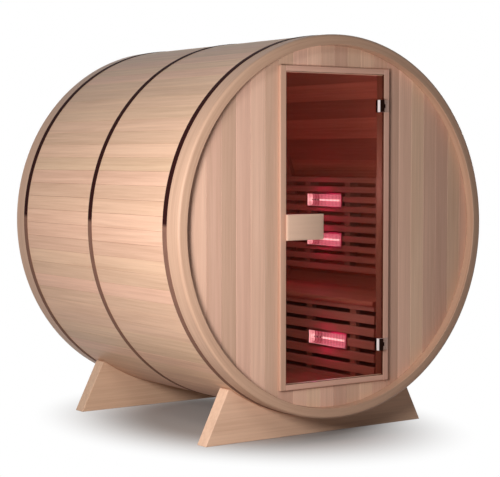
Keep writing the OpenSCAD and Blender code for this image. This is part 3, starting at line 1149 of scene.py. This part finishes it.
@dataclass
class Door(Assembly):
    """Glass door with its handle and hinges."""

    block_bevel: float = 0.0012
    cap_bevel: float = 0.0006
    hinge_h: float = 0.058
    plate_seed: int = 610
    plate_bevel: float = 0.0004
    leaf_w: float = 0.024
    leaf_t: float = 0.003
    leaf_seam: float = 0.0002
    roll_points: int = 29
    pin_r: float = 0.002
    pin_hold: float = 0.002
    round_steps: int = 24
    screw_seed: int = 600
    screw_r: float = 0.0036
    screw_t: float = 0.0012
    screw_core: float = 0.0006
    screw_aside: float = 0.002
    screw_rise: float = 0.018
    screw_shares: tuple[Point, ...] = ((1.0, 0.0), (1.0, 0.4), (0.7, 1.0), (0.4, 1.0), (0.35, 0.3))

    def build(self) -> None:
        """Builds all the pieces."""
        looks, bevel = self.looks, self.block_bevel
        dark = looks["hinge_dark"]
        carry_over("door_glass", looks["tinted_glass"])
        eased_copy("door_handle", "door_handle_grip", looks["handle_wood"], bevel, Body.DOOR)
        # Painted reflection: the white blocks stand for chrome's bright reflection, and the
        # near-black on their faces behind the glass's front and on the caps for its dark reflection.
        mesh = eased_copy("hinge_clips", "hinge_blocks", looks["hinge_chrome"], bevel, Body.DOOR)
        mesh.materials.append(dark.material)
        glass_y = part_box("door_glass")[0].y
        for polygon in mesh.polygons:
            polygon.material_index = int(polygon.center.y > glass_y)
        eased_copy("hinge_knuckles", "hinge_caps", dark, self.cap_bevel, Body.DOOR)
        self.build_plates()
        self.build_screws()

    def hinge_middles(self) -> Point:
        """Heights of the middles of both hinges."""
        low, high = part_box("hinge_clips")
        return low.z + self.hinge_h / 2, high.z - self.hinge_h / 2

    def build_plates(self) -> None:
        """Builds the leaves on the jamb with their rolled knuckles and pins."""
        low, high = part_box("hinge_leaves")
        axis = Vector(frame["record"]["behaviour"]["joints"][0]["pos_m"]).xy
        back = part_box("door_jamb_right")[0].y
        front, edge = back - self.leaf_t, high.x - self.leaf_w
        radius = axis.x - low.x
        meet = math.tau + math.asin((front - axis.y) / radius)
        knuckle = arc(radius, math.pi / 2, meet, self.roll_points, axis)
        knuckle += [(edge - self.leaf_seam, front), (edge - self.leaf_seam, back)]
        pin = arc(self.pin_r, 0.0, math.tau, self.round_steps + 1, axis)[:-1]
        half, third, hold = self.hinge_h / 2, self.hinge_h / 6, self.pin_hold
        boards = Boards("hinge_plates", self.plate_seed)
        for middle in self.hinge_middles():
            boards.box((edge, front, middle - half), (high.x, back, middle + half), Along.W)
            boards.add(pin, (middle - third - hold, middle + third + hold), straight)
            boards.add(knuckle, (middle - half, middle - third), straight)
            boards.add(knuckle, (middle + third, middle + half), straight)
        boards.piece(self.looks["hinge_satin"], "hinge_leaves", self.plate_bevel)

    def build_screws(self) -> None:
        """Builds the screws that hold the hinge leaves to the jamb."""
        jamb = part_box("door_jamb_right")[0]
        x = (jamb.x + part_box("hinge_leaves")[1].x) / 2 + self.screw_aside
        heads = [(r * self.screw_r, t * self.screw_t) for r, t in self.screw_shares]
        profile = [(self.screw_core, 0.0), *heads, (self.screw_core, heads[-1][1])]
        turns = even(0.0, math.tau, self.round_steps + 1)
        boards = Boards("hinge_screws", self.screw_seed)
        for middle in self.hinge_middles():
            for rise in (-self.screw_rise, self.screw_rise):
                centre = Vector((x, jamb.y - self.leaf_t, middle + rise))
                boards.add(
                    profile,
                    turns,
                    lambda u, v, w, c=centre: c + Vector((u * math.cos(w), -v, u * math.sin(w))),
                    closed=True,
                )
        boards.piece(self.looks["hinge_satin"], "", 0.0)


@dataclass
class Cradles(Assembly):
    """Two boards with the barrel's curve cut from them."""

    seeds: tuple[int, int] = (700, 701)
    tip_w: float = 1.044
    tip_flat: float = 0.010
    curve_points: int = 49
    clear: float = 0.0002
    bevel: float = 0.003

    def build(self) -> None:
        """Builds both cradles."""
        radius, half_tip = self.shell.radius + self.clear, self.tip_w / 2
        reach, bottom = math.asin((half_tip - self.tip_flat) / radius), -math.pi / 2
        curve = arc(radius, bottom - reach, bottom + reach, self.curve_points)
        for seed, node in zip(self.seeds, ("front_cradle", "rear_cradle")):
            low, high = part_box(node)
            ground, tip_z = low.z - self.shell.axis_h, high.z - self.shell.axis_h
            outline = [(low.x, ground), (-half_tip, tip_z), *curve]
            outline += [(half_tip, tip_z), (high.x, ground)]
            boards = Boards(node + "_board", seed)
            boards.add(outline, (low.y, high.y), self.shell.flat, Along.U)
            boards.piece(self.looks["cradle_wood"], node, self.bevel)


class Hole(NamedTuple):
    """Limits of the place that a heater takes in the slats, with z from the barrel's axis."""

    near: float
    far: float
    low: float
    high: float


@dataclass
class Room(Assembly):
    """Floor, bench and backrest."""

    floor_seed: int = 800
    seat_seed: int = 810
    front_seed: int = 820
    back_seed: int = 830
    floor_board_w: float = 0.100
    seat_board_w: float = 0.092
    least_board_w: float = 0.02
    nose_points: int = 9
    slat_t: float = 0.018
    slat_gap: float = 0.022
    least_slat_h: float = 0.004
    front_pitch: float = 0.063
    front_rail_h: float = 0.021
    back_pitch: float = 0.054
    back_rail_h: float = 0.029
    back_points: int = 17
    batten_w: float = 0.046
    batten_ys: tuple[float, ...] = (-0.486, -0.130, 0.130, 0.486)
    hole_half_l: float = 0.1502
    hole_half_h: float = 0.0347
    clear: float = 0.0004
    bevel: float = 0.0016

    @property
    def inner_r(self) -> float:
        """Radius that the pieces in the room stay inside."""
        return self.shell.bore_r - self.clear

    def build(self) -> None:
        """Builds all the pieces."""
        self.build_floor()
        self.build_seat()
        self.build_bench_front()
        self.build_backrest()

    def heights(self, node: str) -> Point:
        """Lowest and highest z of a node from the barrel's axis."""
        low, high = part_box(node)
        return low.z - self.shell.axis_h, high.z - self.shell.axis_h

    def hole(self, node: str) -> Hole:
        """Finds the hole for a heater.

        Args:
            node: The heater's CAD node.

        Returns:
            The limits of the hole.
        """
        low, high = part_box(node)
        y, z = (low.y + high.y) / 2, (low.z + high.z) / 2 - self.shell.axis_h
        half_l, half_h = self.hole_half_l, self.hole_half_h
        return Hole(y - half_l, y + half_l, z - half_h, z + half_h)

    def build_floor(self) -> None:
        """Builds the floor boards from the bench front to the round wall."""
        low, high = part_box("floor")
        under, top = self.heights("floor")
        under_end, top_end = (-chord(self.inner_r, z) for z in (under, top))
        boards = Boards("floor_boards", self.floor_seed)
        right = high.x
        while right > under_end + self.clear:
            left, edge = right - self.floor_board_w, right - self.clear
            outline = [(max(left, under_end), under), (edge, under), (edge, top)]
            outline.append((max(left, top_end), top))
            boards.add(outline, (low.y, high.y), self.shell.flat)
            right = left
        # The floor's darker wood is painted shade.
        boards.piece(self.looks["floor_wood"], "floor", self.bevel)

    def build_seat(self) -> None:
        """Builds the seat boards with a rounded front edge."""
        low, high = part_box("bench_seat")
        under, top = self.heights("bench_seat")
        nose = (top - under) / 2
        bench_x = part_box("bench_front")[0].x
        joints = [low.x]
        while (joint := bench_x + self.seat_board_w * len(joints)) < high.x - self.least_board_w:
            joints.append(joint)
        joints.append(high.x + self.seat_board_w)
        boards = Boards("seat_boards", self.seat_seed)
        for start, end in zip(joints, joints[1:]):
            front = [(start, under), (start, top)]
            if start == low.x:
                middle = (start + nose, under + nose)
                front = arc(nose, -math.pi / 2, -1.5 * math.pi, self.nose_points, middle)
            back = [(min(end - self.clear, chord(self.inner_r, z)), z) for z in (top, under)]
            boards.add(front + back, (low.y, high.y), self.shell.flat)
        boards.piece(self.looks["inside_wood"], "bench_seat", self.bevel)

    def add_slat(
        self, boards: Boards, face: float, length: Point, height: Point, holes: Sequence[Hole]
    ) -> None:
        """Adds one slat, parted where a heater stands.

        Args:
            boards: Piece that the slat goes to.
            face: Its face, in x.
            length: Its ends, in y.
            height: Its lower and upper edges, from the barrel's axis.
            holes: The heaters' holes.
        """
        axis, back = self.shell.axis_h, face + self.slat_t
        low, high = height
        start = length[0]
        bars = []
        for hole in holes:
            if min(high, hole.high) <= max(low, hole.low):
                continue
            bars.append((start, hole.near, low, high))
            for part_low, part_high in ((low, hole.low), (hole.high, high)):
                if part_high - part_low > self.least_slat_h:
                    near, far = hole.near + self.clear, hole.far - self.clear
                    bars.append((near, far, part_low, part_high))
            start = hole.far
        bars.append((start, length[1], low, high))
        for near, far, lower, upper in bars:
            boards.box((face, near, axis + lower), (back, far, axis + upper), Along.V)

    def add_slats(
        self, boards: Boards, node: str, bottom: float, steps: Point, holes: Sequence[Hole]
    ) -> None:
        """Adds the slats of a slatted front, from the top rail down.

        Args:
            boards: Piece that the slats go to.
            node: CAD node that gives their face and ends.
            bottom: Where they end, from the barrel's axis.
            steps: Height of the top rail, and distance from slat to slat.
            holes: The heaters' holes.
        """
        low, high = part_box(node)
        height, pitch = steps
        upper = high.z - self.shell.axis_h
        while upper > bottom + self.least_slat_h:
            lower = upper - height
            if lower - bottom < self.slat_gap:
                lower = bottom
            self.add_slat(boards, low.x, (low.y, high.y), (lower, upper), holes)
            upper = lower - self.slat_gap
            height = pitch - self.slat_gap

    def add_battens(self, boards: Boards, outline: Sequence[Point]) -> None:
        """Adds the upright battens behind the slats.

        Args:
            boards: Piece that the battens go to.
            outline: Their outline in x and z, from the barrel's axis.
        """
        for y in self.batten_ys:
            ends = (y - self.batten_w / 2, y + self.batten_w / 2)
            boards.add(outline, ends, self.shell.flat, Along.V)

    def build_bench_front(self) -> None:
        """Builds the slats and battens under the seat."""
        low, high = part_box("bench_front")
        face, top = low.x + self.slat_t, high.z - self.shell.axis_h
        feet = [(x, -chord(self.inner_r, x)) for x in even(face, high.x, 3)]
        boards = Boards("bench_front_slats", self.front_seed)
        steps = (self.front_rail_h, self.front_pitch)
        self.add_slats(boards, "bench_front", feet[0][1], steps, [self.hole("calf_heater")])
        self.add_battens(boards, [(face, top), *feet, (high.x, top)])
        boards.piece(self.looks["slat_wood"], "bench_front", self.bevel)

    def build_backrest(self) -> None:
        """Builds the slats and the battens with backs that follow the round wall."""
        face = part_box("backrest")[0].x + self.slat_t
        bottom, top = self.heights("backrest")
        boards = Boards("backrest_slats", self.back_seed)
        steps = (self.back_rail_h, self.back_pitch)
        holes = [self.hole("back_heater_upper"), self.hole("back_heater_lower")]
        self.add_slats(boards, "backrest", bottom, steps, holes)
        turns = (math.asin(z / self.inner_r) for z in (bottom, top))
        back = arc(self.inner_r, *turns, self.back_points)
        self.add_battens(boards, [(face, top), (face, bottom), *back])
        boards.piece(self.looks["slat_wood"], "backrest", self.bevel)


@dataclass(frozen=True)
class Lamp:
    """Soft lamp out of the camera's sight: a square that faces a target, or a ball without one."""

    name: str
    place: Triple
    watts: float
    size: float
    target: Triple | None = None
    colour: Colour = WHITE

    def build(self) -> None:
        """Adds the lamp to the scene."""
        data = bpy.data.lights.new(self.name, "AREA" if self.target else "POINT")
        setattr(data, "size" if self.target else "shadow_soft_size", self.size)
        data.energy = self.watts
        data.color = self.colour
        made = bpy.data.objects.new(self.name, data)
        made.location = self.place
        if self.target:
            sight = Vector(self.target) - Vector(self.place)
            made.rotation_euler = sight.to_track_quat("-Z", "Y").to_euler()
        made.visible_camera = False
        bpy.context.scene.collection.objects.link(made)


@dataclass
class Heaters(Assembly):
    """Infrared heaters with glowing rods, wire guards and troughs that carry painted light from the
    rods.
    """

    nodes: tuple[str, ...] = ("back_heater_upper", "back_heater_lower", "calf_heater")
    bezel_t: float = 0.006
    case_bevel: float = 0.0008
    skin: float = 0.0001
    facing: float = 0.9
    squareness: float = 6.0
    lamp_reach: float = 0.065
    lamp_watts: float = 0.52
    lamp_size: float = 0.03
    lamp_colour: Colour = (1.0, 0.02, 0.34)

    def build(self) -> None:
        """Builds all the pieces and their red light."""
        for node in self.nodes:
            self.build_case(node)
            x, y, z = self.middle(node)
            place, colour = (x - self.lamp_reach, y, z), self.lamp_colour
            Lamp(node + "_light", place, self.lamp_watts, self.lamp_size, colour=colour).build()
        self.mark_heat(eased_copy("heater_rods", "heater_tubes", self.looks["heater_rod"], 0.0))
        carry_over("heater_guards", self.looks["heater_wire"])

    def middle(self, node: str) -> Vector:
        """Middle of a heater's face."""
        low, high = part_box(node)
        return Vector((low.x, (low.y + high.y) / 2, (low.z + high.z) / 2))

    def mark_heat(self, mesh: bpy.types.Mesh) -> None:
        """Gives each vertex its place from the middle of the nearest heater.

        Args:
            mesh: Mesh that the attribute is added to.
        """
        middles = [self.middle(node) for node in self.nodes]
        heat = mesh.attributes.new("hot_place", "FLOAT_VECTOR", "POINT")
        for vertex, entry in zip(mesh.vertices, heat.data):
            gaps = (vertex.co - middle for middle in middles)
            entry.vector = min(gaps, key=lambda gap: gap.length)

    def build_case(self, node: str) -> None:
        """Builds a face frame with its trough and bright end, which glow with painted light from the
        rod.

        Args:
            node: The CAD node that they stand for.
        """
        looks = self.looks
        mesh = eased_copy(node, node + "_case", looks["heater_sheet"], self.case_bevel)
        middle = self.middle(node)
        mouth = Vector((middle.x + self.bezel_t, middle.y, middle.z))
        self.square_up(mesh, mouth)
        self.mark_heat(mesh)
        mesh.materials.append(looks["heater_trough"].material)
        mesh.materials.append(looks["heater_plate"].material)
        for polygon in mesh.polygons:
            if (middle - polygon.center).dot(polygon.normal) <= 0.0:
                continue
            # The end face and the lower lip take the plate finish as a painted highlight; the
            # trough's inside takes the painted glow.
            lower_lip = polygon.center.x < mouth.x and polygon.normal.z > self.facing
            if lower_lip or polygon.normal.y < -self.facing:
                polygon.material_index = 2
            elif polygon.center.x > mouth.x + self.skin:
                polygon.material_index = 1

    def square_up(self, mesh: bpy.types.Mesh, mouth: Vector) -> None:
        """Fills a half round trough out to a tray with a flat back and rounded corners.

        Args:
            mesh: Mesh of the case.
            mouth: Middle of the trough's mouth.
        """
        power = self.squareness
        for vertex in mesh.vertices:
            depth, rise = vertex.co.x - mouth.x, vertex.co.z - mouth.z
            if depth > self.skin:
                span = math.hypot(depth, rise)
                sides = (abs(depth / span), abs(rise / span))
                swell = sum(side**power for side in sides) ** (-1.0 / power)
                vertex.co.x = mouth.x + depth * swell
                vertex.co.z = mouth.z + rise * swell
        mesh.update()


@dataclass
class Studio:
    """Plain floor, soft light and the camera of the photograph."""

    shell: Shell
    floor_size: float = 60.0
    ambient: float = 0.012
    lamps: tuple[Lamp, ...] = (
        Lamp("key", (-3.4, -3.2, 3.4), 43.0, 0.9, (0.0, -0.5, 1.0)),
        Lamp("side", (-2.9, 0.1, 1.5), 17.6, 1.2, (0.0, 0.0, 1.0)),
        Lamp("front", (-2.45, -2.2, 1.1), 55.0, 0.5, (-0.3, -0.7, 0.95)),
        Lamp("right_fill", (4.2, 0.8, 1.6), 80.0, 1.6, (0.0, 0.0, 0.95)),
        Lamp("back_fill", (0.9, 4.6, 1.8), 80.0, 1.6, (0.0, 0.0, 0.95)),
    )
    inside_colour: Colour = (0.95, 1.0, 1.12)
    inside_size: float = 0.10
    cabin_watts: float = 8.6
    cabin_place: Triple = (-0.05, -0.45, 0.18)
    door_watts: float = 0.8
    door_place: Triple = (0.06, -0.58, 0.58)
    camera_place: Triple = (-4.3856, -6.2653, 1.3291)
    camera_pitch: float = 86.84
    camera_yaw: float = -35.2
    focal_px: float = 1497.0
    image_w: float = 500.0
    sensor_w: float = 36.0

    def build(self) -> None:
        """Builds the floor, world, lamps and camera."""
        self.build_floor()
        self.build_world()
        for lamp in self.lamps:
            lamp.build()
        size, colour = self.inside_size, self.inside_colour
        x, y, rise = self.cabin_place
        place = (x, y, self.shell.axis_h + rise)
        Lamp("cabin_lamp", place, self.cabin_watts, size, colour=colour).build()
        Lamp("door_light", self.door_place, self.door_watts, size, colour=colour).build()
        self.build_camera()

    def build_floor(self) -> None:
        """Builds a pale floor that keeps the object's shadow."""
        half = self.floor_size / 2
        mesh = bpy.data.meshes.new("studio_floor")
        corners = [(-half, -half, 0.0), (half, -half, 0.0), (half, half, 0.0), (-half, half, 0.0)]
        mesh.from_pydata(corners, [], [(0, 1, 2, 3)])
        mesh.materials.append(PaleFloor("studio_floor").build())
        floor = bpy.data.objects.new("studio_floor", mesh)
        bpy.context.scene.collection.objects.link(floor)

    def build_world(self) -> None:
        """Builds an even world that shows white."""
        world = bpy.data.worlds.new("studio")
        bpy.context.scene.world = world
        tree = Tree(world)
        level = self.ambient + (1.0 - self.ambient) * tree.seen()
        tree.surface(tree.value("ShaderNodeBackground", {"Color": WHITE, "Strength": level}))

    def build_camera(self) -> None:
        """Adds the camera at the photograph's viewing angle."""
        data = bpy.data.cameras.new("camera")
        data.sensor_width = self.sensor_w
        data.lens = self.focal_px * self.sensor_w / self.image_w
        camera = bpy.data.objects.new("camera", data)
        camera.location = self.camera_place
        angles = (self.camera_pitch, 0.0, self.camera_yaw)
        camera.rotation_euler = tuple(math.radians(angle) for angle in angles)
        bpy.context.scene.collection.objects.link(camera)
        bpy.context.scene.camera = camera
        bpy.context.scene.view_settings.view_transform = "Standard"


def main() -> None:
    """Builds every sub-assembly in order."""
    logging.basicConfig(level=logging.INFO, format="%(name)s: %(message)s")
    shell = Shell.measure()
    looks = make_looks(shell.axis_h)
    for assembly in (Barrel, EndWalls, DoorFrame, Door, Cradles, Room, Heaters):
        assembly(shell, looks).build()
    Studio(shell).build()


if __name__ == "__main__":
    main()
